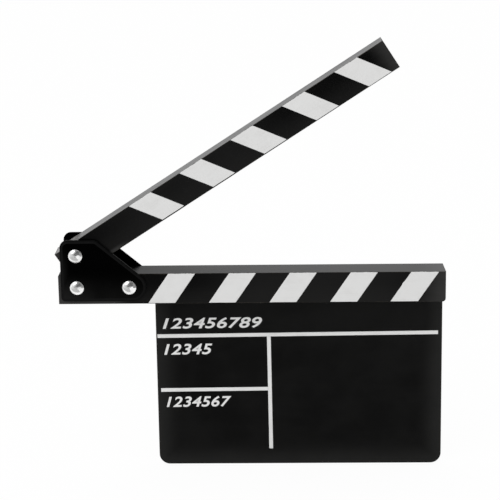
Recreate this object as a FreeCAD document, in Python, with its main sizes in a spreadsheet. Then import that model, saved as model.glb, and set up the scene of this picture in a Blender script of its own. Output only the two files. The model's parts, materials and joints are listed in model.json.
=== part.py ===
import FreeCAD, Part
import os

import Sketcher
from FreeCAD import Rotation, Vector

# A hand clapperboard: a board hung behind a fixed stick, and a second stick that turns on a post
# between two hinge plates. The printed face looks towards -Y, +X is to the right and +Z is up.
# The origin is the middle of the board's bottom edge.

# Driving sizes, in millimetres, with angles in degrees.
sizes = {
    "board_thickness": 4.0,
    "board_drop": 93.3,  # the board's bottom edge below the fixed stick
    "board_lap": 12.0,  # the board's height behind the fixed stick
    "board_corner_radius": 5.6,
    "board_edge_radius": 0.5,
    "board_inset": 0.45,  # from the fixed stick's far end
    "stick_length": 196.4,
    "stick_height": 15.8,
    "stick_thickness": 16.0,
    "stick_overhang": 47.65,  # the fixed stick's hinge end beyond the board
    "stick_heel_radius": 1.5,  # the upper corner at the hinge end
    "stick_toe_radius": 1.7,  # the lower corner at the far end
    "stick_edge_radius": 0.35,
    "end_skew": 0.6,  # both sticks are sawn that much shorter at the back of their far ends
    "tip_overhang": 1.1,  # the closed moving stick beyond the fixed one
    "clapper_height": 15.7,
    "clapper_tail": 8.95,  # the moving stick's end behind the pivot
    "open_angle": 32.9,
    "pivot_inset": 9.45,  # from the fixed stick's hinge end
    "pivot_drop": 0.7,  # the moving stick's lower face is that much farther from the pivot than its tail
    "closing_gap": 0.3,  # between the closed sticks
    "washer_diameter": 11.0,
    "washer_thickness": 0.8,
    "plate_thickness": 1.5,
    "plate_inset": 1.5,  # from the fixed stick's hinge end
    "plate_margin": 1.8,  # above the fixed stick's lower face
    "plate_rise": 8.0,  # above the pivot
    "plate_slope": 40.0,
    "plate_end_radius": 7.4,
    "plate_reach": 1.25,  # the rounded end's middle beyond the right post
    "plate_corner_radius": 4.0,
    "plate_toe_radius": 2.0,
    "plate_bevel_width": 1.6,  # around the side away from the sticks
    "plate_bevel_depth": 0.8,
    "post_height": 9.05,  # the two plate posts above the fixed stick's lower face
    "left_post_inset": 9.7,  # from the fixed stick's hinge end
    "right_post_inset": 11.4,  # from the board's side, towards the hinge
    "post_diameter": 4.0,
    "post_clearance": 0.05,
    "dome_diameter": 7.0,
    "dome_height": 1.9,
    "dome_rim": 0.45,
    "post_shortfall": 0.3,  # lets the screw clamp the plates
    "thread_diameter": 2.5,
    "thread_depth": 9.0,
    "thread_spare": 0.6,
    "screw_head_diameter": 7.0,
    "screw_head_height": 1.6,
    "screw_head_round": 0.6,
    "recess_span": 3.2,
    "recess_width": 0.7,
    "recess_depth": 0.8,
    "board_screw_length": 13.0,
    "board_screw_shank": 2.4,
    "board_screw_head": 5.0,
    "board_screw_tip": 2.0,
    "board_screw_margin": 14.0,  # from the board's sides
    "pilot_spare": 1.0,
    "film_thickness": 0.15,
    "stripe_angle": 55.8,
    "fixed_stripe_start": 0.7,  # from the hinge plate's rounded end
    "fixed_stripe_width": 13.65,
    "fixed_stripe_margin": 3.8,  # from the last stripe to the stick's far end
    "moving_stripe_start": 46.05,  # from the stick's hinge end
    "moving_stripe_width": 13.2,
    "moving_stripe_margin": 4.55,
    "rule_width": 2.0,
    "rule_drop": 21.9,  # the top rule below the fixed stick
    "rule_left_margin": 0.7,
    "rule_right_margin": 2.1,
    "column_width": 58.6,  # from the board's left edge to the column rule
    "column_foot": 8.5,  # the column rule's end above the board's bottom edge
    "side_drop": 29.6,  # the side rule below the top rule
    "side_margin": 1.6,
    "print_tilt": 0.45,
    "overrun": 1.0,  # how far a cut runs past a face
}
stripe_count = 5
board_screw_count = 4
half_turn = "180"
flat = 1e-6  # an edge or face within this of a plane lies in it

doc = FreeCAD.newDocument("Clapperboard")
sheet = doc.addObject("Spreadsheet::Sheet", "dim")
for row, (name, size) in enumerate(sizes.items(), start=1):
    sheet.set(f"A{row}", name)
    sheet.set(f"B{row}", str(size))
    sheet.setAlias(f"B{row}", name)
doc.recompute()

# Places that several pieces share, as expressions on the driving sizes.
board_front = "(-dim.board_thickness / 2)"
board_back = "(dim.board_thickness / 2)"
board_width = "(dim.stick_length - dim.stick_overhang - dim.board_inset)"
board_left = f"(-{board_width} / 2)"
board_top = "(dim.board_drop + dim.board_lap)"
stick_left = f"({board_left} - dim.stick_overhang)"
stick_front = f"({board_front} - dim.stick_thickness)"
plate_front = f"({stick_front} - dim.plate_thickness)"
plate_back = f"({board_front} + dim.plate_thickness)"
pivot_x = f"({stick_left} + dim.pivot_inset)"
heel_drop = "(dim.clapper_tail + dim.pivot_drop)"
pivot_height = f"(dim.stick_height + dim.closing_gap + {heel_drop})"
pivot_z = f"(dim.board_drop + {pivot_height})"
post_z = "(dim.board_drop + dim.post_height)"
right_post = "(dim.stick_overhang - dim.right_post_inset)"
plate_end = f"({right_post} + dim.plate_reach)"
clapper_thickness = "(dim.stick_thickness - 2 * dim.washer_thickness)"
clapper_back = f"({board_front} - dim.washer_thickness)"
clapper_reach = "(dim.stick_length - dim.pivot_inset + dim.tip_overhang)"
post_bore = "(dim.post_diameter + 2 * dim.post_clearance)"
post_length = "(dim.stick_thickness + 2 * dim.plate_thickness - dim.post_shortfall)"
thread_bore = "(dim.thread_diameter + 2 * dim.post_clearance)"
shank_bore = "(dim.board_screw_shank + 2 * dim.post_clearance)"
head_slope = "((dim.board_screw_head - dim.board_screw_shank) / 2)"
screw_row = "(dim.board_drop + dim.board_lap / 2)"
rule_z = "(dim.board_drop - dim.rule_drop)"
column_x = f"({board_left} + dim.column_width)"

parts = []


def value(expression):
    return float(sheet.evalExpression(expression))


def new_body(label, across="0", along="0", up="0"):
    body = doc.addObject("PartDesign::Body", label)
    body.Label = label
    place(body, across, along, up)
    parts.append(body)
    return body


def place(piece, across, along, up):
    piece.setExpression("Placement.Base.x", across)
    piece.setExpression("Placement.Base.y", along)
    piece.setExpression("Placement.Base.z", up)


def turn(piece, axis, angle):
    piece.Placement.Rotation = Rotation(axis, value(angle))
    piece.setExpression("Placement.Rotation.Angle", angle)


def new_sketch(body, role, raised="0"):
    # On an origin plane of the body, raised along the plane's normal. The XZ plane's normal is -Y.
    sketch = body.newObject("Sketcher::SketchObject", f"{body.Name}_sketch")
    plane = next(feature for feature in body.Origin.OriginFeatures if feature.Role == role)
    sketch.AttachmentSupport = [(plane, "")]
    sketch.MapMode = "FlatFace"
    sketch.setExpression("AttachmentOffset.Base.z", raised)
    return sketch


def hold(sketch, expression, kind, *where):
    number = sketch.addConstraint(Sketcher.Constraint(kind, *where, value(expression)))
    sketch.setExpression(f"Constraints[{number}]", expression)


def outline(sketch, corners):
    # A closed outline with straight sides through corners given as expressions.
    spots = [Vector(value(across), value(up), 0) for across, up in corners]
    count = len(spots)
    for side in range(count):
        sketch.addGeometry(Part.LineSegment(spots[side], spots[(side + 1) % count]))
    for side in range(count):
        sketch.addConstraint(Sketcher.Constraint("Coincident", side, 2, (side + 1) % count, 1))
    for side, (across, up) in enumerate(corners):
        hold(sketch, across, "DistanceX", -1, 1, side, 1)
        hold(sketch, up, "DistanceY", -1, 1, side, 1)


def circles(sketch, spots, diameter):
    for across, up in spots:
        middle = Vector(value(across), value(up), 0)
        number = sketch.addGeometry(Part.Circle(middle, Vector(0, 0, 1), value(diameter) / 2))
        hold(sketch, across, "DistanceX", -1, 1, number, 3)
        hold(sketch, up, "DistanceY", -1, 1, number, 3)
        hold(sketch, diameter, "Diameter", number)


def pad(body, sketch, length):
    feature = body.newObject("PartDesign::Pad", f"{body.Name}_pad")
    feature.Profile = sketch
    feature.setExpression("Length", length)
    doc.recompute()


def pocket(body, sketch, length, into_pad=True):
    # Cuts along the plane's normal, where a pad from the same plane lies, or against it.
    before = body.Shape.Volume
    feature = body.newObject("PartDesign::Pocket", f"{body.Name}_pocket")
    feature.Profile = sketch
    feature.Reversed = into_pad
    feature.setExpression("Length", length)
    doc.recompute()
    if body.Shape.Volume >= before:
        raise RuntimeError(f"{feature.Name} cuts nothing")


def revolve(body, sketch):
    feature = body.newObject("PartDesign::Revolution", f"{body.Name}_turned")
    feature.Profile = sketch
    feature.ReferenceAxis = (sketch, ["V_Axis"])
    doc.recompute()


def edges_of(feature, wanted):
    return feature, [f"Edge{i}" for i, edge in enumerate(feature.Shape.Edges, start=1) if wanted(edge)]


def round_edges(body, radius, wanted):
    edges = edges_of(body.Tip, wanted)
    feature = body.newObject("PartDesign::Fillet", f"{body.Name}_rounding")
    feature.Base = edges
    feature.setExpression("Radius", radius)
    doc.recompute()


def bevel_edges(body, width, depth, wanted, at_start=False):
    # A bevel that takes its width from a flat face and its depth from the sides around it. The sides are
    # counted first on the face where a pad ends, and last on the face where it starts.
    edges = edges_of(body.Tip, wanted)
    feature = body.newObject("PartDesign::Chamfer", f"{body.Name}_bevel")
    feature.Base = edges
    feature.ChamferType = "Two distances"
    feature.FlipDirection = at_start
    feature.setExpression("Size", depth)
    feature.setExpression("Size2", width)
    doc.recompute()


def is_corner(edge):
    return edge.BoundBox.XLength < flat and edge.BoundBox.ZLength < flat


def is_rim(edge):
    return edge.BoundBox.YLength < flat


def corner_at(across, up):
    # Picks the edge that goes back from one corner of a body's front outline, in the body's own frame.
    def wanted(edge):
        box = edge.BoundBox
        if is_rim(edge) or box.ZLength > flat:
            return False
        return abs(box.XMax - value(across)) + abs(box.ZMax - value(up)) < flat

    return wanted


def box_corners(left, bottom, right, top):
    return [(left, bottom), (right, bottom), (right, top), (left, top)]


def make_board():
    body = new_body("slate_board", along=board_back)
    sketch = new_sketch(body, "XZ_Plane")
    outline(sketch, box_corners(board_left, "0", f"-{board_left}", board_top))
    pad(body, sketch, "dim.board_thickness")
    round_edges(body, "dim.board_corner_radius", lambda edge: is_corner(edge) and edge.BoundBox.ZMax < flat)
    round_edges(body, "dim.board_edge_radius", is_rim)
    holes = new_sketch(body, "XZ_Plane")
    circles(holes, [(across, screw_row) for across in screw_places()], shank_bore)
    pocket(body, holes, "dim.board_thickness + dim.overrun")

    def at_mouth(edge):
        return is_rim(edge) and edge.Closed and abs(edge.BoundBox.YMax) < flat

    # The countersinks in the board's back.
    bevel_edges(body, head_slope, head_slope, at_mouth)


def screw_places():
    # Evenly spaced between the margins at the board's two sides.
    first = f"({board_left} + dim.board_screw_margin)"
    run = f"({board_width} - 2 * dim.board_screw_margin)"
    return [f"({first} + {run} * {i} / {board_screw_count - 1})" for i in range(board_screw_count)]


def saw_askew(body, end, bottom, height, thickness):
    # Cuts a wedge off the far end of a stick, so that the stick is shorter at its back than at its front.
    sketch = new_sketch(body, "XY_Plane", f"{bottom} - dim.overrun")
    beyond = f"{end} + dim.overrun"
    back = f"{end} - dim.end_skew * ({thickness} + dim.overrun) / {thickness}"
    front = f"-{thickness}"
    outline(sketch, [(end, front), (beyond, front), (beyond, "dim.overrun"), (back, "dim.overrun")])
    pocket(body, sketch, f"{height} + 2 * dim.overrun")


def make_fixed_stick():
    body = new_body("fixed_clapstick", stick_left, board_front, "dim.board_drop")
    sketch = new_sketch(body, "XZ_Plane")
    outline(sketch, box_corners("0", "0", "dim.stick_length", "dim.stick_height"))
    pad(body, sketch, "dim.stick_thickness")
    saw_askew(body, "dim.stick_length", "0", "dim.stick_height", "dim.stick_thickness")
    round_edges(body, "dim.stick_heel_radius", corner_at("0", "dim.stick_height"))
    round_edges(body, "dim.stick_toe_radius", corner_at("dim.stick_length", "0"))
    round_edges(body, "dim.stick_edge_radius", is_rim)
    bores = new_sketch(body, "XZ_Plane")
    insets = ["dim.left_post_inset", right_post]
    circles(bores, [(inset, "dim.post_height") for inset in insets], post_bore)
    pocket(body, bores, "dim.stick_thickness + dim.overrun")
    pilots = new_sketch(body, "XZ_Plane")
    spots = [(f"{across} - {stick_left}", "dim.board_lap / 2") for across in screw_places()]
    circles(pilots, spots, shank_bore)
    pocket(body, pilots, "dim.board_screw_length - dim.board_thickness + dim.pilot_spare")


def on_clapper(label, along):
    # A body that shares the moving stick's frame: its origin on the pivot, turned to the open angle.
    body = new_body(label, pivot_x, along, pivot_z)
    turn(body, Vector(0, -1, 0), "dim.open_angle")
    return body


def make_moving_stick():
    body = on_clapper("moving_clapstick", clapper_back)
    sketch = new_sketch(body, "XZ_Plane")
    tail = "-dim.clapper_tail"
    heel = f"-{heel_drop}"
    top = f"dim.clapper_height - {heel_drop}"
    outline(sketch, box_corners(tail, heel, clapper_reach, top))
    pad(body, sketch, clapper_thickness)
    saw_askew(body, clapper_reach, heel, "dim.clapper_height", clapper_thickness)
    # The heel is round about the pivot's height, so that it clears the fixed stick as the stick opens.
    round_edges(body, "dim.clapper_tail", corner_at(tail, heel))
    round_edges(body, "dim.stick_edge_radius", is_rim)
    bore = new_sketch(body, "XZ_Plane")
    circles(bore, [("0", "0")], post_bore)
    pocket(body, bore, f"{clapper_thickness} + dim.overrun")


def make_plate(label, along, outer):
    # The rim of the outer face, which is given as a place along Y in the body's own frame, is bevelled.
    body = new_body(label, stick_left, along, "dim.board_drop")
    bottom = "dim.plate_margin"
    top = f"({pivot_height} + dim.plate_rise)"
    # The sloping side and the bottom meet in a tip, and the rounding of that tip reaches past a post.
    tip = f"({plate_end} + dim.plate_end_radius / tan(dim.plate_slope * 1 deg / 2))"
    shoulder = f"({tip} - ({top} - {bottom}) / tan(dim.plate_slope * 1 deg))"
    sketch = new_sketch(body, "XZ_Plane")
    outline(sketch, [("dim.plate_inset", bottom), (tip, bottom), (shoulder, top), ("dim.plate_inset", top)])
    pad(body, sketch, "dim.plate_thickness")
    round_edges(body, "dim.plate_end_radius", corner_at(tip, bottom))
    round_edges(body, "dim.plate_corner_radius", corner_at("dim.plate_inset", top))
    round_edges(body, "dim.plate_corner_radius", corner_at(shoulder, top))
    round_edges(body, "dim.plate_toe_radius", corner_at("dim.plate_inset", bottom))
    face = value(outer)

    def on_face(edge):
        return is_rim(edge) and abs(edge.BoundBox.YMax - face) < flat

    at_start = abs(face) < flat
    bevel_edges(body, "dim.plate_bevel_width", "dim.plate_bevel_depth", on_face, at_start)
    holes = new_sketch(body, "XZ_Plane")
    spots = [
        ("dim.pivot_inset", pivot_height),
        ("dim.left_post_inset", "dim.post_height"),
        (right_post, "dim.post_height"),
    ]
    circles(holes, spots, post_bore)
    pocket(body, holes, "dim.plate_thickness + dim.overrun")


def make_washer(label, along):
    body = new_body(label, pivot_x, along, pivot_z)
    ring = new_sketch(body, "XZ_Plane")
    circles(ring, [("0", "0")], "dim.washer_diameter")
    circles(ring, [("0", "0")], post_bore)
    pad(body, ring, "dim.washer_thickness")


def make_post(label, across, up):
    # Turned about Y: a dome in front of the plate, then a barrel with a threaded bore from behind.
    body = new_body(label, across, plate_front, up)
    sketch = new_sketch(body, "XY_Plane")
    dome_radius = "dim.dome_diameter / 2"
    barrel = "dim.post_diameter / 2"
    bore = f"{thread_bore} / 2"
    bottom = f"{post_length} - dim.thread_depth"
    corners = [
        (dome_radius, "-dim.dome_rim"),
        (dome_radius, "0"),
        (barrel, "0"),
        (barrel, post_length),
        (bore, post_length),
        (bore, bottom),
        ("0", bottom),
        ("0", "-dim.dome_height"),
    ]
    dome_profile(sketch, corners)
    revolve(body, sketch)


def dome_profile(sketch, corners):
    # Straight sides through the corners, closed from the last to the first by an arc on the axis.
    spots = [Vector(value(across), value(up), 0) for across, up in corners]
    for start, end in zip(spots, spots[1:]):
        sketch.addGeometry(Part.LineSegment(start, end))
    rim, apex = spots[0], spots[-1]
    rise = rim.y - apex.y
    radius = (rim.x ** 2 + rise ** 2) / (2 * rise)
    middle = Vector(0, apex.y + radius, 0)
    circle = Part.Circle(middle, Vector(0, 0, 1), radius)
    arc = sketch.addGeometry(Part.ArcOfCircle(circle, circle.parameter(apex), circle.parameter(rim)))
    for side in range(arc):
        sketch.addConstraint(Sketcher.Constraint("Coincident", side, 2, side + 1, 1))
    sketch.addConstraint(Sketcher.Constraint("Coincident", arc, 2, 0, 1))
    sketch.addConstraint(Sketcher.Constraint("PointOnObject", arc, 3, -2))
    for side, (across, up) in enumerate(corners[:-1]):
        hold(sketch, across, "DistanceX", -1, 1, side, 1)
        hold(sketch, up, "DistanceY", -1, 1, side, 1)
    hold(sketch, corners[-1][0], "DistanceX", -1, 1, arc, 1)
    hold(sketch, corners[-1][1], "DistanceY", -1, 1, arc, 1)


def cut_recess(body, raised):
    # A cross recess, cut into a head from the plane of its top.
    sketch = new_sketch(body, "XZ_Plane", raised)
    arm = "dim.recess_width / 2"
    end = "dim.recess_span / 2"
    corners = [(arm, end), (f"-{arm}", end), (f"-{arm}", arm)]
    corners += [(f"-{end}", arm), (f"-{end}", f"-{arm}"), (f"-{arm}", f"-{arm}")]
    corners += [(f"-{arm}", f"-{end}"), (arm, f"-{end}"), (arm, f"-{arm}")]
    corners += [(end, f"-{arm}"), (end, arm), (arm, arm)]
    outline(sketch, corners)
    pocket(body, sketch, "dim.recess_depth", into_pad=False)


def make_post_screw(label, across, up):
    # Drawn with its head towards -Y, then turned to face +Y behind the rear plate.
    body = new_body(label, across, plate_back, up)
    turn(body, Vector(0, 0, 1), half_turn)
    sketch = new_sketch(body, "XY_Plane")
    head = "dim.screw_head_diameter / 2"
    shank = "dim.thread_diameter / 2"
    end = "dim.thread_depth - dim.thread_spare"
    corners = [
        ("0", "-dim.screw_head_height"),
        (head, "-dim.screw_head_height"),
        (head, "0"),
        (shank, "0"),
        (shank, end),
        ("0", end),
    ]
    outline(sketch, corners)
    revolve(body, sketch)
    top = value("-dim.screw_head_height")
    round_edges(body, "dim.screw_head_round", lambda edge: abs(edge.BoundBox.YMax - top) < flat)
    cut_recess(body, "dim.screw_head_height")


def make_board_screw(label, across):
    # A countersunk wood screw, its flat head level with the board's back.
    body = new_body(label, across, board_back, screw_row)
    turn(body, Vector(0, 0, 1), half_turn)
    sketch = new_sketch(body, "XY_Plane")
    shank = "dim.board_screw_shank / 2"
    corners = [
        ("0", "0"),
        ("dim.board_screw_head / 2", "0"),
        (shank, head_slope),
        (shank, "dim.board_screw_length - dim.board_screw_tip"),
        ("0", "dim.board_screw_length"),
    ]
    outline(sketch, corners)
    revolve(body, sketch)
    cut_recess(body, "0")


def stripe_corners(number, stick, first, length, first_end, second_end):
    # A leaning stripe between two edges of a stick's face. It starts nearest the hinge at the first end,
    # and the row of stripes fills the stick's length from the first start to a margin at the far end.
    width, margin = (f"dim.{stick}_stripe_{size}" for size in ("width", "margin"))
    lean = f"(abs({second_end} - {first_end}) / tan(dim.stripe_angle * 1 deg))"
    run = f"({length} - {margin} - {first} - {width} - {lean})"
    start = f"({first} + {run} * {number} / {stripe_count - 1})"
    return [
        (start, first_end),
        (f"{start} + {width}", first_end),
        (f"{start} + {width} + {lean}", second_end),
        (f"{start} + {lean}", second_end),
    ]


def make_stripes():
    # Each stripe covers the flat of the face, between the rounded edges.
    first = f"({plate_end} + dim.plate_end_radius + dim.fixed_stripe_start)"
    for number in range(stripe_count):
        body = new_body(f"fixed_stripe_{number + 1}", stick_left, board_front, "dim.board_drop")
        low = "dim.stick_edge_radius"
        high = "(dim.stick_height - dim.stick_edge_radius)"
        sketch = new_sketch(body, "XZ_Plane", "dim.stick_thickness")
        outline(sketch, stripe_corners(number, "fixed", first, "dim.stick_length", low, high))
        pad(body, sketch, "dim.film_thickness")
    for number in range(stripe_count):
        body = on_clapper(f"moving_stripe_{number + 1}", clapper_back)
        low = f"(dim.stick_edge_radius - {heel_drop})"
        high = f"(dim.clapper_height - {heel_drop} - dim.stick_edge_radius)"
        sketch = new_sketch(body, "XZ_Plane", clapper_thickness)
        length = f"({clapper_reach} + dim.clapper_tail)"
        corners = stripe_corners(number, "moving", "dim.moving_stripe_start", length, high, low)
        outline(sketch, [(f"{across} - dim.clapper_tail", up) for across, up in corners])
        pad(body, sketch, "dim.film_thickness")


def make_rule(label, corners):
    # A printed line on the board, drawn from the point where the top and column rules cross.
    body = new_body(label, column_x, board_front, rule_z)
    turn(body, Vector(0, -1, 0), "dim.print_tilt")
    sketch = new_sketch(body, "XZ_Plane")
    outline(sketch, corners)
    pad(body, sketch, "dim.film_thickness")


def make_rules():
    half = "dim.rule_width / 2"
    left = "dim.rule_left_margin - dim.column_width"
    right = f"{board_width} - dim.column_width - dim.rule_right_margin"
    foot = f"dim.column_foot - {rule_z}"
    side = "dim.side_margin - dim.column_width"
    below = "-dim.side_drop"
    make_rule("top_rule", box_corners(left, f"-{half}", right, half))
    make_rule("column_rule", box_corners(f"-{half}", foot, half, f"-{half}"))
    make_rule("side_rule", box_corners(side, f"{below} - {half}", f"-{half}", f"{below} + {half}"))


def write_parts():
    doc.recompute()
    for thing in doc.Objects:
        if "Invalid" in thing.State or "Error" in thing.State:
            raise RuntimeError(f"{thing.Name} failed: {thing.State}")
    for body in parts:
        if body.Shape.isNull() or not body.Shape.isValid():
            raise RuntimeError(f"{body.Label} has no valid shape")
    os.makedirs("parts", exist_ok=True)
    for body in parts:
        body.Shape.exportStep(f"parts/{body.Label}.step")
        print(body.Label, len(body.Shape.Solids), round(body.Shape.Volume, 1))


make_board()
make_fixed_stick()
make_moving_stick()
make_plate("front_hinge_plate", stick_front, "-dim.plate_thickness")
make_plate("rear_hinge_plate", plate_back, "0")
make_washer("front_pivot_washer", f"{stick_front} + dim.washer_thickness")
make_washer("rear_pivot_washer", board_front)
fastener_places = {
    "pivot": (pivot_x, pivot_z),
    "left_plate": (f"{stick_left} + dim.left_post_inset", post_z),
    "right_plate": (f"{stick_left} + {right_post}", post_z),
}
for name, (across, up) in fastener_places.items():
    make_post(f"{name}_post", across, up)
    make_post_screw(f"{name}_screw", across, up)
for number, across in enumerate(screw_places(), start=1):
    make_board_screw(f"board_screw_{number}", across)
make_stripes()
make_rules()
write_parts()
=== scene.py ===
import json
import math
import bmesh
import bpy
import numpy as np
from mathutils import Matrix, Vector


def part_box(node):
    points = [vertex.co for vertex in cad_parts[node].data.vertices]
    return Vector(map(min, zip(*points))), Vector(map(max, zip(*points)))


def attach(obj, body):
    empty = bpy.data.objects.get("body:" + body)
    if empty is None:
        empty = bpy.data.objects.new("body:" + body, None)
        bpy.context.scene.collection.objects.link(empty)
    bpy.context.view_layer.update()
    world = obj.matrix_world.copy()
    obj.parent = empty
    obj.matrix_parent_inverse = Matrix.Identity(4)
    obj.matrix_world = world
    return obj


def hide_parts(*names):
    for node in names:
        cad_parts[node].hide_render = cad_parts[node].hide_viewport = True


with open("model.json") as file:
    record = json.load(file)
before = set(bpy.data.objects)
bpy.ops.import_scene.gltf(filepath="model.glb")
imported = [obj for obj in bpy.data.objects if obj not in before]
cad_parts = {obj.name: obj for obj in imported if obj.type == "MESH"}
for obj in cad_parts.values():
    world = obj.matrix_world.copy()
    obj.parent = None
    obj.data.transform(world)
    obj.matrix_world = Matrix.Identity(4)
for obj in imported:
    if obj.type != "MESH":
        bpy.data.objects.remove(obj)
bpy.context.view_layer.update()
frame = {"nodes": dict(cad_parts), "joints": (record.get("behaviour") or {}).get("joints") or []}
nodes = frame["nodes"]
hinge = frame["joints"][0]
pivot = np.array(hinge["pos_m"])
openAngle = -math.radians(hinge["range_deg"][0])  # the stick's opening at rest, from closed
mm = 0.001
print("frame loaded:", len(nodes), "nodes")


# shader wiring

class Wire:
    # one socket of a node tree; sums and products of wires and numbers add Math nodes
    def __init__(self, wiring, socket):
        self.wiring = wiring
        self.socket = socket

    def math(self, operation, *values):
        return self.wiring.node("Math", {"operation": operation}, dict(enumerate(values)))

    def __add__(self, other):
        return self.math("ADD", self, other)

    def __sub__(self, other):
        return self.math("SUBTRACT", self, other)

    def __rsub__(self, other):
        return self.math("SUBTRACT", other, self)

    def __mul__(self, other):
        return self.math("MULTIPLY", self, other)

    def __abs__(self):
        return self.math("ABSOLUTE", self)

    __radd__ = __add__
    __rmul__ = __mul__

    def least(self, other):
        return self.math("MINIMUM", self, other)

    def most(self, other):
        return self.math("MAXIMUM", self, other)

    def above(self, floor):
        # a mask from 0 to 1 becomes one from a floor to 1
        return floor + (1 - floor) * self

    def swing(self, size, middle=0.5):
        # noise becomes a swing about zero: its distance from its middle, times a size
        return size * (self - middle)

    def mixed(self, other, share):
        # the other wire's share, and this one's rest
        return self * (1 - share) + other * share

    def out(self, name):
        return Wire(self.wiring, self.socket.node.outputs[name])


class Wiring:
    # the node tree of one material or of the world
    def __init__(self, owner):
        owner.use_nodes = True
        self.owner = owner
        self.tree = owner.node_tree
        self.tree.nodes.clear()

    def node(self, kind, settings, inputs, output=0):
        # one node: its settings come first, then the values or links of its sockets
        made = self.tree.nodes.new("ShaderNode" + kind)
        for name, value in settings.items():
            setattr(made, name, value)
        for key, value in inputs.items():
            socket = made.inputs[key]
            if isinstance(value, Wire):
                self.tree.links.new(value.socket, socket)
            elif socket.type == "RGBA":
                socket.default_value = (*value, 1.0)
            else:
                socket.default_value = value
        return Wire(self, made.outputs[output]) if made.outputs else None

    def place(self, centre=(0, 0, 0), turn=0.0):
        # the piece's own axes: Object coordinates about a centre, turned back about Y
        coordinates = self.node("TexCoord", {}, {}, "Object")
        return self.node("Mapping", {"vector_type": "TEXTURE"},
                         {"Vector": coordinates, "Location": centre, "Rotation": (0, -turn, 0)})

    def split(self, vector):
        first = self.node("SeparateXYZ", {}, {0: vector})
        return first, first.out(1), first.out(2)

    def stretch(self, vector, sizes):
        # divides all axes by one feature size, or each by its own, for textures at scale 1
        return self.node("VectorMath", {"operation": "MULTIPLY"},
                         {0: vector, 1: (1 / np.broadcast_to(sizes, 3)).tolist()})

    def noise(self, vector, sizes, detail=3.0, rough=0.5):
        # smooth noise about 0.5 with features of those sizes
        return self.node("TexNoise", {}, {"Vector": self.stretch(vector, sizes), "Scale": 1.0,
                                          "Detail": detail, "Roughness": rough})

    def fade(self, value, start, end):
        # 0 at start, 1 at end, smooth between
        return self.node("MapRange", {"interpolation_type": "SMOOTHSTEP"},
                         {"Value": value, "From Min": start, "From Max": end})

    def blend(self, mask, first, second):
        # the first colour where the mask is 0, the second where it is 1
        return self.node("Mix", {"data_type": "RGBA"}, {0: mask, 6: first, 7: second}, 2)

    def bump(self, height, depth, under=None):
        # relief of a depth in metres, over an earlier relief
        inputs = {"Height": height, "Distance": depth, "Strength": 1.0}
        if under:
            inputs["Normal"] = under
        return self.node("Bump", {}, inputs)

    def surface(self, inputs):
        shader = self.node("BsdfPrincipled", {}, inputs)
        self.node("OutputMaterial", {}, {"Surface": shader})
        return self.owner


def newFinish(name):
    return Wiring(bpy.data.materials.new(name))


def edgeDistance(x, y, z, half):
    # on a box's surface, the middle one of its distances to the three pairs of faces leads to the edge
    a, b, c = half[0] - abs(x), half[1] - abs(y), half[2] - abs(z)
    return a.least(b).most(a.most(b).least(c))


def axisDistance(finish, at, names):
    # distance to the nearest of some turned pieces' axes, which all lie along Y
    nearest = None
    for name in names:
        axis = sum(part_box(name), Vector()) / 2
        off = finish.node("VectorMath", {"operation": "SUBTRACT"}, {0: at, 1: axis})
        flat = finish.node("VectorMath", {"operation": "MULTIPLY"}, {0: off, 1: (1.0, 0.0, 1.0)})
        away = finish.node("VectorMath", {"operation": "LENGTH"}, {0: flat}, 1)
        nearest = away if nearest is None else nearest.least(away)
    return nearest


# black chalkboard paint of the board

boardLook = {
    "black": (0.0026, 0.0026, 0.0025),
    "haze": (0.0065, 0.0065, 0.0063),      # wiped chalk
    "rim": (0.0160, 0.0160, 0.0155),       # painted light, paler along the edges
    "fibre": (0.050, 0.044, 0.038),        # bare board on the arrises
    "cloudSize": (30 * mm, 30 * mm, 24 * mm),
    "wipeSize": (40 * mm, 20 * mm, 6 * mm),
    "speckleSize": 0.5 * mm,
    "wipeShare": 0.2,                      # of wipes among the clouds
    "hazeSpan": (0.36, 0.66),              # noise at which the haze starts and is full
    "hazeFloor": 0.55,                     # of the haze, in its thinnest speckles
    "rimReach": 17 * mm,
    "rimWander": 8 * mm,                   # how far clouds move its border
    "rimShare": 0.9,
    "shelfFoot": 48 * mm,                  # painted light under the stick, lifting its shade, measured from the board's top
    "shelfTop": 14 * mm,
    "shelfShare": 0.55,
    "shelfFloor": 0.5,                     # of it, between clouds
    "shelfHinge": 0.55,                    # of it, at the hinge side
    "arrisReach": 0.55 * mm,
    "arrisSpeckle": 0.9 * mm,              # how far speckle and clouds move the bare arris
    "arrisWander": 1.2 * mm,
    "arrisShare": 0.6,
    "stippleSize": 0.9 * mm,
    "stippleDepth": 0.012 * mm,
    "sandSize": 0.22 * mm,
    "sandDepth": 0.004 * mm,
    "roughness": 0.60,
    "hazeRoughness": 0.12,
    "speckleRoughness": 0.08,
    "specular": 0.055,
}


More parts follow.
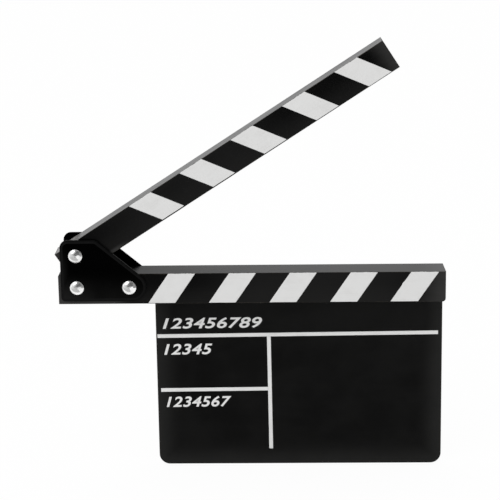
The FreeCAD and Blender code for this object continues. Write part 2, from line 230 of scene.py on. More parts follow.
def boardPaint():
    # black under a cloudy haze, with painted light towards the sides and under the stick, bare on the
    # arrises
    look = boardLook
    low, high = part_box("slate_board")
    half = (high - low) / 2
    finish = newFinish("board_paint")
    at = finish.place((low + high) / 2)
    x, y, z = finish.split(at)
    clouds = finish.noise(at, look["cloudSize"], detail=5.0, rough=0.6)
    wipes = finish.noise(at, look["wipeSize"], detail=4.0, rough=0.65)
    speckle = finish.noise(at, look["speckleSize"], detail=2.0)
    haze = finish.fade(clouds.mixed(wipes, look["wipeShare"]), *look["hazeSpan"])
    haze = haze * speckle.above(look["hazeFloor"])
    # painted light: paler towards the board's sides
    toSide = (half.x - abs(x)).least(half.z - abs(z))
    rim = finish.fade(toSide + clouds.swing(look["rimWander"]), look["rimReach"], 0.0)
    # painted light under the stick, lifting its shade; weaker at the hinge side
    shelf = finish.fade(z, half.z - look["shelfFoot"], half.z - look["shelfTop"])
    shelf = shelf * clouds.above(look["shelfFloor"])
    shelf = shelf * finish.fade(x, -half.x, half.x).above(look["shelfHinge"])
    wander = speckle.swing(look["arrisSpeckle"]) + clouds.swing(look["arrisWander"])
    arris = finish.fade(edgeDistance(x, y, z, half) + wander, look["arrisReach"], 0.0)
    colour = finish.blend(haze, look["black"], look["haze"])
    # the stronger of the two painted lights, at the sides and under the stick
    pale = (rim * rim * look["rimShare"]).most(shelf * look["shelfShare"])
    colour = finish.blend(pale, colour, look["rim"])
    colour = finish.blend(arris * look["arrisShare"], colour, look["fibre"])
    stipple = finish.noise(at, look["stippleSize"], detail=2.0)
    sand = finish.noise(at, look["sandSize"], detail=1.0)
    normal = finish.bump(sand, look["sandDepth"], finish.bump(stipple, look["stippleDepth"]))
    roughness = look["roughness"] + haze.swing(look["hazeRoughness"])
    roughness = roughness + speckle.swing(look["speckleRoughness"])
    return finish.surface({"Base Color": colour, "Normal": normal, "Roughness": roughness,
                           "Specular IOR Level": look["specular"]})


# satin black paint over planed wood, for both sticks

stickLook = {
    "black": (0.0012, 0.0012, 0.0012),
    "paintedSheen": (0.0078, 0.0077, 0.0075),    # painted sheen, about the handled part of the stick
    "paintedLight": (0.0110, 0.0109, 0.0105),      # painted light, towards the lower edge
    "ends": (0.0360, 0.0355, 0.0345),      # painted highlights at both ends
    "wood": (0.060, 0.050, 0.040),         # bare wood on the arrises
    "topLightTone": (0.30, 0.295, 0.285),       # painted highlight on the moving stick's top by the hinge, between the plates
    "sheenSpan": (0.68, 0.25),           # where the painted sheen ends and is full, in half lengths of the stick
    "lightStart": 0.6,                      # share of half the height above the middle
    "lightShare": 0.7,
    "endWander": 9 * mm,                   # how far clouds move the border of a painted highlight at an end
    "cutReach": (0.5 * mm, 0.15 * mm),     # from the sawn ends
    "topLightRun": (17 * mm, 10.2 * mm),     # from the hinge end
    "topLightEnd": 7 * mm,                   # painted highlight weaker over the very tail
    "topLightFloor": 0.25,                   # of the painted highlight left there, at the very end
    "topLightReach": (0.3 * mm, 0.1 * mm),   # below the top
    "skirtRun": (38 * mm, 26.6 * mm),      # painted highlight along the lower edge, from the hinge end
    "skirtHeight": (2.6 * mm, 0.78 * mm),
    "arrisReach": 0.42 * mm,
    "arrisSpeckle": 0.7 * mm,              # how far speckle and clouds move the bare arris
    "arrisWander": 1.3 * mm,
    "arrisMiddle": 0.45,                   # clouds above it spare the arris
    "arrisShare": 0.5,
    "grainSize": (70 * mm, 0.75 * mm, 0.75 * mm),
    "grainDepth": 0.012 * mm,
    "brushSize": (45 * mm, 0.35 * mm, 0.35 * mm),
    "brushDepth": 0.004 * mm,
    "cloudSize": (22 * mm, 9 * mm, 9 * mm),
    "speckleSize": 0.7 * mm,
    "roughness": 0.22,
    "cloudRoughness": 0.12,
    "grainRoughness": 0.1,
    "cutRoughness": 0.6,                   # more, on the sawn ends
    "specular": 0.06,
}
# each stick's painted light and gloss: where the painted sheen lies along it, from -1 to 1, the gloss
# gained along it, how far the painted highlights at the ends reach, and shares of each kind of painted
# light
fixedLightAndGloss = {
    "middle": 0.32,
    "sheen": 0.19,
    "endReach": 16 * mm,
    "hingeEnd": 1.4,
    "farEnd": 0.9,
    "topLight": 0.0,
}
movingLightAndGloss = {
    "middle": -0.22,
    "sheen": 0.0,
    "endReach": 10 * mm,
    "hingeEnd": 1.0,
    "farEnd": 0.8,
    "topLight": 1.0,
}


def stickPaint(name, centre, turn, half, lightAndGloss):
    # black, with a painted sheen about the handled part, painted light towards the lower edge, painted
    # highlights at the ends, along the lower edge and on the moving stick's top by the hinge, and bare wood
    # on the arrises
    look = stickLook
    finish = newFinish(name)
    at = finish.place(centre, turn)
    x, y, z = finish.split(at)
    grain = finish.noise(at, look["grainSize"], detail=4.0, rough=0.6)
    brush = finish.noise(at, look["brushSize"], detail=2.0)
    clouds = finish.noise(at, look["cloudSize"])
    speckle = finish.noise(at, look["speckleSize"], detail=2.0)
    uneven = 0.55 + 0.5 * clouds + grain.swing(0.35)   # how thickly the painted sheen, painted light and painted highlights lie
    # painted sheen: paler about where the stick is handled
    none, full = (share * half[0] for share in look["sheenSpan"])
    sheenMask = finish.fade(abs(x - lightAndGloss["middle"] * half[0]), none, full)
    # painted light: paler towards the lower edge, where light from the floor falls
    low = finish.fade(z, look["lightStart"] * half[2], -half[2])
    fromHinge, fromEnd = x + half[0], half[0] - abs(x)
    # painted highlights at the ends
    end = finish.fade(fromEnd + clouds.swing(look["endWander"]), lightAndGloss["endReach"], 0.0)
    end = end * (lightAndGloss["hingeEnd"] + (lightAndGloss["farEnd"] - lightAndGloss["hingeEnd"]) * finish.fade(x, -mm, mm))
    cut = finish.fade(fromEnd, *look["cutReach"])
    # painted highlight on the moving stick's top by the hinge, lifting the plates' shade
    topLight = finish.fade(fromHinge, *look["topLightRun"])
    topLight = topLight * finish.fade(fromHinge, 0.0, look["topLightEnd"]).above(look["topLightFloor"])
    topLight = topLight * finish.fade(half[2] - z, *look["topLightReach"]) * lightAndGloss["topLight"]
    # painted highlight along the lower edge
    skirt = finish.fade(z + half[2], *look["skirtHeight"]) * finish.fade(fromHinge, *look["skirtRun"])
    wander = speckle.swing(look["arrisSpeckle"]) + clouds.swing(look["arrisWander"], look["arrisMiddle"])
    arris = finish.fade(edgeDistance(x, y, z, half) + wander, look["arrisReach"], 0.0)
    colour = finish.blend(sheenMask * uneven, look["black"], look["paintedSheen"])
    colour = finish.blend(low * uneven * look["lightShare"], colour, look["paintedLight"])
    colour = finish.blend(end.most(skirt) * uneven, colour, look["ends"])
    colour = finish.blend(arris * look["arrisShare"], colour, look["wood"])
    colour = finish.blend(topLight * (0.7 + 0.4 * grain), colour, look["topLightTone"])
    normal = finish.bump(brush, look["brushDepth"], finish.bump(grain, look["grainDepth"]))
    roughness = look["roughness"] + clouds.swing(look["cloudRoughness"])
    roughness = roughness + grain.swing(look["grainRoughness"])
    roughness = roughness - (lightAndGloss["sheen"] / half[0]) * x + look["cutRoughness"] * cut
    return finish.surface({"Base Color": colour, "Normal": normal, "Roughness": roughness,
                           "Specular IOR Level": look["specular"]})


# black lacquer of the steel hinge plates

plateLook = {
    "black": (0.0003, 0.0003, 0.0003),
    "rub": (0.0040, 0.0040, 0.0040),
    "paintedLight": (0.0108, 0.0108, 0.0105),      # painted light, in the lower hinge corner
    "rim": (0.0075, 0.0075, 0.0075),       # painted highlight on the bevel
    "rimReach": 0.06 * mm,                 # behind the outer face
    "rimEnd": 1.40 * mm,
    "sideReach": 5 * mm,                   # painted highlight along the hinge side
    "sideShare": 0.6,
    "lightFloor": 0.35,                     # of the painted light, away from the hinge side
    "cloudSize": 9 * mm,
    "speckleSize": 0.45 * mm,
    "scratchSize": (14 * mm, 2 * mm, 0.22 * mm),
    "scratchSpan": (0.66, 0.78),           # noise at which scratches start and are full
    "patchSpan": (0.4, 0.65),              # and the patches in which they lie
    "ringSpan": (0.35, 0.75),              # and the specks of the polished rings
    "ringShare": 0.8,
    "rubShare": 0.5,
    "ringReach": 5.4 * mm,                 # paint polished by the heads, measured from a post's axis
    "headReach": 3.5 * mm,
    "peelSize": 1.1 * mm,
    "peelDepth": 0.006 * mm,
    "roughness": 0.28,
    "cloudRoughness": 0.12,
    "rubRoughness": 0.2,
    "specular": 0.011,
}


def plateLacquer(postNodes):
    # black, scratched in patches and around the heads, with painted light in the lower hinge corner and
    # along the hinge side, and a painted highlight on the bevel
    look = plateLook
    low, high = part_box("front_hinge_plate")
    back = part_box("rear_hinge_plate")[1].y
    middle = (low + high) / 2
    finish = newFinish("plate_lacquer")
    at = finish.place()
    x, y, z = finish.split(at)
    clouds = finish.noise(at, look["cloudSize"])
    peel = finish.noise(at, look["peelSize"], detail=2.0)
    speckle = finish.noise(at, look["speckleSize"], detail=2.0)
    scratch = finish.noise(at, look["scratchSize"], detail=2.0)
    rings = finish.fade(axisDistance(finish, at, postNodes), look["ringReach"], look["headReach"])
    rub = finish.fade(scratch, *look["scratchSpan"]) * finish.fade(clouds, *look["patchSpan"])
    rub = rub.most(rings * finish.fade(speckle, *look["ringSpan"]) * look["ringShare"])
    behind = (y - low.y).least(back - y)
    front = finish.fade(behind, look["rimEnd"], look["rimReach"])
    # painted light: paler towards the lower hinge corner, and a painted highlight along the hinge side
    paintedLight = finish.fade(z, middle.z, low.z) * finish.fade(x, middle.x, low.x).above(look["lightFloor"])
    side = finish.fade(x, low.x + look["sideReach"], low.x) * finish.fade(z, high.z, middle.z)
    paintedLight = paintedLight.most(side * look["sideShare"]) * front * (0.3 + 0.8 * clouds + 0.6 * speckle)
    # painted highlight: a thin pale band on the bevel
    rim = finish.fade(behind, 0.0, look["rimReach"]) * front * (0.45 + 0.9 * clouds)
    colour = finish.blend(rub * look["rubShare"], look["black"], look["rub"])
    colour = finish.blend(paintedLight, colour, look["paintedLight"])
    colour = finish.blend(rim, colour, look["rim"])
    roughness = look["roughness"] + clouds.swing(look["cloudRoughness"]) + look["rubRoughness"] * rub
    return finish.surface({"Base Color": colour, "Normal": finish.bump(peel, look["peelDepth"]),
                           "Roughness": roughness, "Specular IOR Level": look["specular"]})


# fibre of the friction washers

washerLook = {
    "pale": (0.060, 0.054, 0.046),
    "dark": (0.024, 0.021, 0.018),
    "fibreSize": (1.4 * mm, 0.5 * mm, 0.2 * mm),
    "fibreSpan": (0.3, 0.7),               # noise from dark to pale
    "fibreDepth": 0.02 * mm,
    "roughness": 0.72,
    "fibreRoughness": 0.2,
}


def washerFibre():
    # long flat noise from dark to pale
    look = washerLook
    finish = newFinish("washer_fibre")
    fibre = finish.noise(finish.place(), look["fibreSize"], detail=4.0, rough=0.65)
    colour = finish.blend(finish.fade(fibre, *look["fibreSpan"]), look["dark"], look["pale"])
    roughness = look["roughness"] + fibre.swing(look["fibreRoughness"])
    return finish.surface({"Base Color": colour, "Roughness": roughness,
                           "Normal": finish.bump(fibre, look["fibreDepth"])})


# polished nickel of the domed posts

nickelLook = {
    "bright": (0.985, 0.985, 0.98),
    "dull": (0.78, 0.78, 0.775),
    # painted shade at the head's seat
    "paintedShade": (0.10, 0.095, 0.09),
    "filmSize": 2.2 * mm,
    "filmSpan": (0.38, 0.68),              # noise from bright to dull
    "filmShare": 0.4,
    "dentSize": 1.2 * mm,
    "dentDepth": 0.05 * mm,
    "pitSize": 0.35 * mm,
    "pitDepth": 0.006 * mm,
    "seatReach": 0.14 * mm,                # painted shade where the head meets the plate
    "seatWander": 0.1 * mm,
    "seatShare": 0.8,
    "roughness": 0.15,
    "filmRoughness": 0.12,
    "shadeRoughness": 0.3,
}


def brightNickel():
    # bright with dull patches, and painted shade within a reach of the plate's face
    look = nickelLook
    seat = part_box("front_hinge_plate")[0].y
    finish = newFinish("bright_nickel")
    at = finish.place()
    y = finish.split(at)[1]
    dents = finish.noise(at, look["dentSize"], detail=2.0)
    pits = finish.noise(at, look["pitSize"], detail=2.0)
    film = finish.fade(finish.noise(at, look["filmSize"]), *look["filmSpan"])
    # painted shade: darker near where the head meets the plate
    paintedShade = finish.fade(abs(y - seat) + pits.swing(look["seatWander"]), look["seatReach"], 0.0)
    colour = finish.blend(film * look["filmShare"], look["bright"], look["dull"])
    colour = finish.blend(paintedShade * look["seatShare"], colour, look["paintedShade"])
    normal = finish.bump(pits, look["pitDepth"], finish.bump(dents, look["dentDepth"]))
    roughness = look["roughness"] + look["filmRoughness"] * film + look["shadeRoughness"] * paintedShade
    return finish.surface({"Base Color": colour, "Normal": normal, "Metallic": 1.0, "Roughness": roughness})


# zinc plate of the screws behind

zincLook = {
    "bright": (0.62, 0.63, 0.65),
    "dull": (0.36, 0.365, 0.37),
    # painted shade in the recesses
    "paintedShade": (0.045, 0.043, 0.040),
    "spangleSize": 0.9 * mm,
    "spangleSpan": (0.35, 0.7),            # noise from bright to dull
    "spangleShare": 0.7,
    "recessReach": (1.75 * mm, 1.645 * mm),   # painted shade in the recess, from the screw's axis
    "recessDepth": (0.045 * mm, 0.45 * mm),
    "recessShare": 0.85,
    "grainSize": (0.9 * mm, 0.2 * mm, 0.12 * mm),
    "grainDepth": 0.006 * mm,
    "shadeCover": 0.8,                     # of the metal's shine, in the painted shade
    "roughness": 0.28,
    "dullRoughness": 0.22,
    "grainRoughness": 0.1,
    "shadeRoughness": 0.3,
}


def zincSteel(name, screwNodes):
    # bright with dull spangles, and painted shade deep in the recesses; the heads all end at one height
    # along Y
    look = zincLook
    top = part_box(screwNodes[0])[1].y
    finish = newFinish(name)
    at = finish.place()
    y = finish.split(at)[1]
    # painted shade: dark and unshiny deep in the recess
    paintedShade = finish.fade(top - y, *look["recessDepth"])
    paintedShade = paintedShade * finish.fade(axisDistance(finish, at, screwNodes), *look["recessReach"])
    grain = finish.noise(at, look["grainSize"], detail=2.0)
    dull = finish.fade(finish.noise(at, look["spangleSize"]), *look["spangleSpan"])
    colour = finish.blend(dull * look["spangleShare"], look["bright"], look["dull"])
    colour = finish.blend(paintedShade * look["recessShare"], colour, look["paintedShade"])
    roughness = look["roughness"] + look["dullRoughness"] * dull + grain.swing(look["grainRoughness"])
    roughness = roughness + look["shadeRoughness"] * paintedShade
    return finish.surface({"Base Color": colour, "Metallic": 1.0 - look["shadeCover"] * paintedShade,
                           "Roughness": roughness, "Normal": finish.bump(grain, look["grainDepth"])})


# matte white of the stripes, rules and numbers

whiteLook = {
    "stripe": (0.685, 0.685, 0.68),
    "print": (0.75, 0.75, 0.745),          # rules and numbers
    "soil": (0.56, 0.555, 0.545),
    "dirt": (0.34, 0.33, 0.315),
    "cloudSize": (9 * mm, 9 * mm, 6 * mm),
    "spraySize": 0.55 * mm,
    "brushSize": (14 * mm, 0.6 * mm, 0.6 * mm),
    "soilBrush": 0.3,                      # share of brush marks in the soil
    "soilSpan": (0.45, 0.75),              # noise at which soil and specks of dirt start and are full
    "soilShare": 0.35,
    "dirtClouds": 0.4,                     # share of clouds in the specks
    "dirtSpan": (0.64, 0.74),
    "dirtShare": 0.5,
    "sprayDepth": 0.008 * mm,
    "roughness": 0.56,
    "cloudRoughness": 0.15,
    "specular": 0.30,
}


def whitePrint(name, white, centre=(0, 0, 0), turn=0.0):
    # a white with cloudy soil, brushed along the piece, and small specks of dirt
    look = whiteLook
    finish = newFinish(name)
    at = finish.place(centre, turn)
    clouds = finish.noise(at, look["cloudSize"], detail=4.0, rough=0.6)
    spray = finish.noise(at, look["spraySize"])
    brush = finish.noise(at, look["brushSize"])
    soil = finish.fade(clouds.mixed(brush, look["soilBrush"]), *look["soilSpan"])
    dirt = finish.fade(spray.mixed(clouds, look["dirtClouds"]), *look["dirtSpan"])
    colour = finish.blend(soil * look["soilShare"], look[white], look["soil"])
    colour = finish.blend(dirt * look["dirtShare"], colour, look["dirt"])
    normal = finish.bump(spray, look["sprayDepth"], finish.bump(brush, look["sprayDepth"]))
    roughness = look["roughness"] + clouds.swing(look["cloudRoughness"])
    return finish.surface({"Base Color": colour, "Normal": normal, "Roughness": roughness,
                           "Specular IOR Level": look["specular"]})


# numpy surfaces

def turned(points, angle, centre):
    # turns points in the X-Z plane about a centre, counter-clockwise as the printed face is seen
    c, s = math.cos(angle), math.sin(angle)
    x, z = points[..., 0] - centre[0], points[..., 2] - centre[2]
    return np.stack([centre[0] + x * c - z * s, points[..., 1], centre[2] + x * s + z * c], -1)


def meshPoints(mesh):
    flat = np.empty(len(mesh.vertices) * 3, np.float32)
    mesh.vertices.foreach_get("co", flat)
    return flat.reshape(-1, 3).astype(float)


def nodePoints(name):
    return meshPoints(nodes[name].data)


def slabFaces(rows, columns):
    # quads of a front grid, of a back grid behind it and of the rim between their borders
    index = np.arange(rows * columns).reshape(rows, columns)
    front = np.stack([index[:-1, :-1], index[:-1, 1:], index[1:, 1:], index[1:, :-1]], -1).reshape(-1, 4)
    border = np.concatenate([index[0], index[1:, -1], index[-1, -2::-1], index[-2:0:-1, 0]])
    after = np.roll(border, -1)
    back = index.size
    rim = np.stack([after, border, border + back, after + back], -1)
    return np.concatenate([front, front[:, ::-1] + back, rim])


def facingOut(points, faces):
    # turns the faces round if the volume that they enclose comes out negative
    a, b, c, d = (points[faces[:, k]] for k in range(4))
    volume = np.einsum("ij,ij->", a, np.cross(b, c)) + np.einsum("ij,ij->", a, np.cross(c, d))
    return faces if volume > 0 else faces[:, ::-1]


def newPiece(name, points, faces, material, body):
    mesh = bpy.data.meshes.new(name)
    mesh.from_pydata(points.tolist(), [], facingOut(points, faces).tolist())
    mesh.validate()
    mesh.shade_smooth()
    piece = bpy.data.objects.new(name, mesh)
    bpy.context.scene.collection.objects.link(piece)
    mesh.materials.append(material)
    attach(piece, body)
    return piece


def closer(count, gather=0.6):
    # shares from 0 to 1 that lie closer together at both ends: even steps mixed with a cosine's
    even = np.linspace(0.0, 1.0, count)
    return (1 - gather) * even + gather * (0.5 - 0.5 * np.cos(math.pi * even))


def waver(draw, shares, waves, size, weakest=0.4):
    # a wavering edge: sines of 1, 2, 3... waves with drawn phases, and drawn weights that shrink
    number = np.arange(1, waves + 1)
    phase = draw.uniform(0, 2 * math.pi, waves)
    weight = draw.uniform(weakest, 1.0, waves) / np.sqrt(number)
    wave = np.sin(2 * math.pi * np.outer(shares, number) + phase) @ weight
    return size * wave / math.sqrt(waves)


filmLook = {
    "height": 0.13 * mm,       # paint above the face
    "edgeShare": 0.35,         # of that height, at the very edge
    "edgeRun": 0.30 * mm,      # from the edge to the full height
    "sideWaver": 0.06 * mm,
    "sideWaves": 9,
    "endWaver": 0.05 * mm,
    "endWaves": 7,
    "columns": 44,
    "rows": 56,
}


def filmHeight(across, up):
    # height of a paint film from the distances to its nearest side and end: a rounded shoulder
    reach = np.minimum(across, up) / filmLook["edgeRun"]
    shoulder = 1 - (1 - np.clip(reach, 0, 1)) ** 2
    return filmLook["height"] * (filmLook["edgeShare"] + (1 - filmLook["edgeShare"]) * shoulder)


stripeLook = {
    "lap": 0.30 * mm,          # how far the paint goes on round the stick's upper edge
    "lapWaver": 0.17 * mm,
    "lapWaves": 11,
    "footStep": 0.07 * mm,     # moving stripes start higher, stripe by stripe towards the hinge
    "cornerReach": 1 * mm,     # in height, around a corner of the stripe
    "edgeRadius": 0.35 * mm,
    "spillStripe": "fixed_stripe_5",
    "spill": 0.30 * mm,        # paint spilled past the stripe's left side
    "bulge": 0.35 * mm,
    "bulgeShare": 0.64,        # of the stripe's height
    "bulgeReach": 0.9 * mm,
}


def stripeFilm(node, stick, body, angle, material, seed, foot=0.0):
    # a slanted stripe: its rows go up the front face and on round the quarter circle of the stick's upper
    # edge, and its left and right sides are lines in that height, from the lower to the upper corners
    look = stripeLook
    draw = np.random.default_rng(seed)
    corner = turned(nodePoints(node), -angle, pivot)
    wood = turned(nodePoints(stick), -angle, pivot)
    bottom, top = corner[:, 2].min(), corner[:, 2].max()
    low = corner[corner[:, 2] < bottom + look["cornerReach"], 0]
    high = corner[corner[:, 2] > top - look["cornerReach"], 0]
    s, t = closer(filmLook["columns"])[None, :], closer(filmLook["rows"])[:, None]
    column, row = s[0], t[:, 0]
    startWave = waver(draw, column, filmLook["endWaves"], filmLook["endWaver"])
    start = bottom + foot + np.abs(startWave)[None, :]
    end = top + look["lap"] + waver(draw, column, look["lapWaves"], look["lapWaver"])[None, :]
    w = start + (end - start) * t
    share = (w - bottom) / (top - bottom)
    side = [waver(draw, row, filmLook["sideWaves"], filmLook["sideWaver"])[:, None] for k in range(2)]
    left = low.min() + (high.min() - low.min()) * share + side[0]
    right = low.max() + (high.max() - low.max()) * share + side[1]
    if node == look["spillStripe"]:
        away = (share - look["bulgeShare"]) * (top - bottom) / look["bulgeReach"]
        left = left - look["spill"] - look["bulge"] * np.exp(-away ** 2)
    x = left + (right - left) * s
    height = filmHeight(np.minimum(s, 1 - s) * (right - left), np.minimum(t, 1 - t) * (end - start))
    face = wood[:, 1].min()
    radius = look["edgeRadius"]
    flatEnd = wood[:, 2].max() - radius
    bend = np.clip(w - flatEnd, 0, None) / radius

    def laid(h):
        # at a height over the wood: straight up the face, then on the quarter circle
        out = radius + h
        y = face + radius - out * np.cos(bend)
        z = np.where(bend > 0, flatEnd + out * np.sin(bend), w)
        return np.stack([x, y, z], -1).reshape(-1, 3)

    points = np.concatenate([laid(height), laid(np.zeros_like(height))])
    faces = slabFaces(filmLook["rows"], filmLook["columns"])
    piece = newPiece(node + "_paint", turned(points, angle, pivot), faces, material, body)
    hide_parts(node)


ruleLook = {
    "tilt": math.radians(0.45),   # the print sits a little askew on the board
    "waver": 0.05 * mm,
    "waveLength": 5 * mm,         # of the shortest wave
    "columnStep": 0.7 * mm,
    "rows": 9,
}


def ruleFilm(node, material, seed):
    # a straight ruled line: a rectangle along X or Z with slightly wavering sides, turned by the tilt
    look = ruleLook
    draw = np.random.default_rng(seed)
    origin = np.zeros(3)
    corner = turned(nodePoints(node), -look["tilt"], origin)
    low, high = corner.min(0), corner.max(0)
    span = high - low
    along, over = (0, 2) if span[0] > span[2] else (2, 0)
    columns = int(span[along] / look["columnStep"])
    s, t = closer(columns)[None, :], closer(look["rows"])[:, None]
    waves = int(span[along] / look["waveLength"])
    side = np.stack([waver(draw, s[0], waves, look["waver"]) for k in range(2)])
    start = low[over] + np.abs(side[0])[None, :]
    end = high[over] - np.abs(side[1])[None, :]
    flat = np.empty((look["rows"], columns, 3))
    flat[..., along] = low[along] + span[along] * s
    flat[..., over] = start + (end - start) * t
    height = filmHeight(np.minimum(t, 1 - t) * (end - start), np.minimum(s, 1 - s) * span[along])
    front, back = flat.copy(), flat
    face = high[1]
    front[..., 1] = face - height
    back[..., 1] = face
    points = np.concatenate([front.reshape(-1, 3), back.reshape(-1, 3)])
    faces = slabFaces(look["rows"], columns)
    piece = newPiece(node + "_paint", turned(points, look["tilt"], origin), faces, material,
                     "board_assembly")
    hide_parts(node)


numberLook = {
    "height": 5.9 * mm,
    "thickness": 0.12 * mm,
    "slope": 0.24,
    "weight": 0.020,           # added around the strokes, as a share of the figures' nominal size
    "spacing": 1.06,
    "curveSteps": 6,
    "mergeReach": 0.001 * mm,
    "rows": {
        "upper_numbers": {"figures": "123456789",
                          "left": -70.0 * mm, "right": -18.3 * mm, "foot": 75.35 * mm},
        "middle_numbers": {"figures": "12345",
                           "left": -69.7 * mm, "right": -44.5 * mm, "foot": 61.25 * mm},
        "lower_numbers": {"figures": "1234567",
                          "left": -69.4 * mm, "right": -35.3 * mm, "foot": 32.35 * mm},
    },
}


def numberRow(name, material, figures, left, right, foot):
    # plain numbers: a mesh of their outlines, scaled to the row's width, height and thickness
    look = numberLook
    curve = bpy.data.curves.new(name, "FONT")
    curve.body = figures
    curve.shear = look["slope"]
    curve.offset = look["weight"]
    curve.space_character = look["spacing"]
    curve.resolution_u = look["curveSteps"]
    curve.extrude = 0.5   # any depth, scaled below
    sketch = bpy.data.objects.new(name + "_outline", curve)
    bpy.context.scene.collection.objects.link(sketch)
    bpy.context.view_layer.update()
    mesh = bpy.data.meshes.new_from_object(sketch.evaluated_get(bpy.context.evaluated_depsgraph_get()))
    bpy.data.objects.remove(sketch)
    shape = meshPoints(mesh)
    share = (shape - shape.min(0)) / np.ptp(shape, axis=0)
    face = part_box("slate_board")[0].y
    points = np.stack([left + (right - left) * share[:, 0], face - look["thickness"] * share[:, 2],
                       foot + look["height"] * share[:, 1]], -1)
    points = turned(points, ruleLook["tilt"], np.zeros(3))
    mesh.vertices.foreach_set("co", points.astype(np.float32).ravel())
    merged = bmesh.new()
    merged.from_mesh(mesh)
    bmesh.ops.remove_doubles(merged, verts=merged.verts, dist=look["mergeReach"])
    bmesh.ops.recalc_face_normals(merged, faces=merged.faces)
    merged.to_mesh(mesh)
    merged.free()
    mesh.materials.clear()
    mesh.materials.append(material)
    mesh.update()
    piece = bpy.data.objects.new(name, mesh)
    bpy.context.scene.collection.objects.link(piece)
    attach(piece, "board_assembly")


# dressing the CAD nodes

def dress(names, material):
    for name in names:
        mesh = nodes[name].data
        mesh.materials.clear()
        mesh.materials.append(material)


posts = ["pivot_post", "left_plate_post", "right_plate_post"]
plateScrews = ["pivot_screw", "left_plate_screw", "right_plate_screw"]
boardScrews = sorted(name for name in nodes if name.startswith("board_screw_"))

fixedLow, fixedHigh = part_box("fixed_clapstick")
fixedHalf = (fixedHigh - fixedLow) / 2
closedStick = turned(nodePoints("moving_clapstick"), -openAngle, pivot)
movingLow, movingHigh = closedStick.min(0), closedStick.max(0)
movingHalf = (movingHigh - movingLow) / 2
movingCentre = turned((movingLow + movingHigh) / 2, openAngle, pivot)

dress(["slate_board"], boardPaint())
dress(["fixed_clapstick"],
      stickPaint("fixed_stick_paint", (fixedLow + fixedHigh) / 2, 0.0, fixedHalf, fixedLightAndGloss))
dress(["moving_clapstick"],
      stickPaint("moving_stick_paint", movingCentre, openAngle, movingHalf, movingLightAndGloss))
dress(["front_hinge_plate", "rear_hinge_plate"], plateLacquer(posts))
dress(["front_pivot_washer", "rear_pivot_washer"], washerFibre())
dress(posts, brightNickel())
dress(plateScrews, zincSteel("plate_screw_zinc", plateScrews))
dress(boardScrews, zincSteel("board_screw_zinc", boardScrews))
print("CAD nodes dressed")

fixedWhite = whitePrint("fixed_white", "stripe")
movingWhite = whitePrint("moving_white", "stripe", movingCentre, openAngle)
boardWhite = whitePrint("board_white", "print")
stripeSeed = 40
stripeCount = 5
for number in range(1, stripeCount + 1):
    stripeFilm(f"fixed_stripe_{number}", "fixed_clapstick", "board_assembly", 0.0, fixedWhite,
               stripeSeed + number)
    stripeFilm(f"moving_stripe_{number}", "moving_clapstick", "clapper", openAngle, movingWhite,
               2 * stripeSeed + number, (stripeCount - number) * stripeLook["footStep"])
print("stripes painted")

ruleSeed = 7
for node in ("top_rule", "column_rule", "side_rule"):
    ruleFilm(node, boardWhite, ruleSeed + len(node))
for name, row in numberLook["rows"].items():
    numberRow(name, boardWhite, **row)
print("rules and numbers printed")


# the studio

studio = {
    "floorReach": 5.0,
    "floorColour": (0.95, 0.95, 0.95),
    "floorGlow": 0.95,                     # share of the white that shadow doesn't reach
    "worldLevel": 0.90,
    "keyPlace": (-0.75, -1.15, 1.25),
    "keyAim": (0.0, 0.0, 0.11),
    "keySize": 1.0,
    "keyWatts": 5.5,
}
# matte cards that only reflections show: two opposite corners and a grey
cards = {
    "dark_flag": ((-0.62, -1.15, 0.20), (2.60, -1.15, 3.00), 0.13),   # behind the camera
    "low_card": ((-0.62, -1.15, 0.002), (0.30, -1.15, 0.20), 0.40),
    "corner_card": ((-1.10, -1.15, 0.002), (-0.62, -1.15, 1.00), 0.45),
    "front_cloth": ((-0.45, -1.10, 0.001), (-0.06, -0.07, 0.001), 0.50),
    "left_cloth": ((-1.10, -1.10, 0.001), (-0.45, -0.07, 0.001), 0.66),
    "left_card": ((-1.10, -1.15, 0.002), (-1.10, -0.42, 0.50), 0.66),
    "right_card": ((0.30, -0.42, 0.002), (0.30, -0.10, 0.40), 0.25),
}


def seenWhite(wiring):
    # 1 for rays that see the background: from the camera, from metal and through glass
    path = wiring.node("LightPath", {}, {}, "Is Camera Ray")
    return path.most(path.out("Is Glossy Ray")).most(path.out("Is Transmission Ray"))


def flatPanel(name, corners, material):
    mesh = bpy.data.meshes.new(name)
    mesh.from_pydata(corners, [], [(0, 1, 2, 3)])
    mesh.materials.append(material)
    panel = bpy.data.objects.new(name, mesh)
    bpy.context.scene.collection.objects.link(panel)
    return panel


def reflectedCard(name, low, high, grey):
    # a rectangle across the two axes in which its corners differ
    across = next(axis for axis in range(3) if low[axis] != high[axis])
    beside, above = list(low), list(high)
    beside[across] = high[across]
    above[across] = low[across]
    finish = newFinish(name)
    matte = finish.node("BsdfDiffuse", {}, {"Color": (grey, grey, grey)})
    finish.node("OutputMaterial", {}, {"Surface": matte})
    panel = flatPanel(name, [low, beside, high, above], finish.owner)
    panel.visible_camera = False
    panel.visible_diffuse = False
    panel.visible_shadow = False


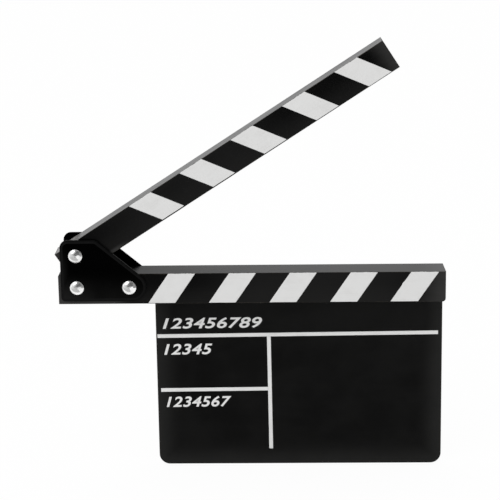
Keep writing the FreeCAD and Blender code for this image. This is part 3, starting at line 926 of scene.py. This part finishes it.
def buildStudio():
    reach = studio["floorReach"]
    floor = newFinish("floor_white")
    matte = floor.node("BsdfDiffuse", {}, {"Color": studio["floorColour"]})
    glow = floor.node("Emission", {}, {"Color": (1, 1, 1), "Strength": 1.0})
    mixed = floor.node("MixShader", {}, {0: seenWhite(floor) * studio["floorGlow"], 1: matte, 2: glow})
    floor.node("OutputMaterial", {}, {"Surface": mixed})
    corners = [(-reach, -reach, 0), (reach, -reach, 0), (reach, reach, 0), (-reach, reach, 0)]
    flatPanel("floor", corners, floor.owner)

    for name, card in cards.items():
        reflectedCard(name, *card)

    world = bpy.data.worlds.new("studio_world")
    bpy.context.scene.world = world
    sky = Wiring(world)
    strength = seenWhite(sky).above(studio["worldLevel"])
    light = sky.node("Background", {}, {"Color": (1, 1, 1), "Strength": strength})
    sky.node("OutputWorld", {}, {"Surface": light})

    key = bpy.data.lights.new("key", "AREA")
    key.size = studio["keySize"]
    key.energy = studio["keyWatts"]
    lamp = bpy.data.objects.new("key", key)
    place = Vector(studio["keyPlace"])
    lamp.location = place
    lamp.rotation_euler = (Vector(studio["keyAim"]) - place).to_track_quat("-Z", "Y").to_euler()
    bpy.context.scene.collection.objects.link(lamp)


view = {   # fitted to the photograph's edges
    "place": (0.003955, -0.914314, 0.359992),
    "down": math.radians(14.914),
    "turn": math.radians(-1.793),
    "roll": math.radians(-0.911),
    "lens": 132.66,
    "sensor": 36.0,
}


def buildCamera():
    # looks down and sideways by two angles, then rolls about its own line of sight
    down, turn, roll = view["down"], view["turn"], view["roll"]
    forward = Vector((math.sin(turn) * math.cos(down), math.cos(turn) * math.cos(down), -math.sin(down)))
    side = Vector((math.cos(turn), -math.sin(turn), 0.0))
    rise = side.cross(forward)
    right = side * math.cos(roll) + rise * math.sin(roll)
    up = rise * math.cos(roll) - side * math.sin(roll)
    camera = bpy.data.cameras.new("camera")
    camera.lens = view["lens"]
    camera.sensor_width = view["sensor"]
    holder = bpy.data.objects.new("camera", camera)
    facing = Matrix((right, up, -forward)).transposed().to_4x4()
    holder.matrix_world = Matrix.Translation(view["place"]) @ facing
    bpy.context.scene.collection.objects.link(holder)
    bpy.context.scene.camera = holder


buildStudio()
buildCamera()
bpy.context.scene.view_settings.view_transform = "Standard"
print("studio and camera set")
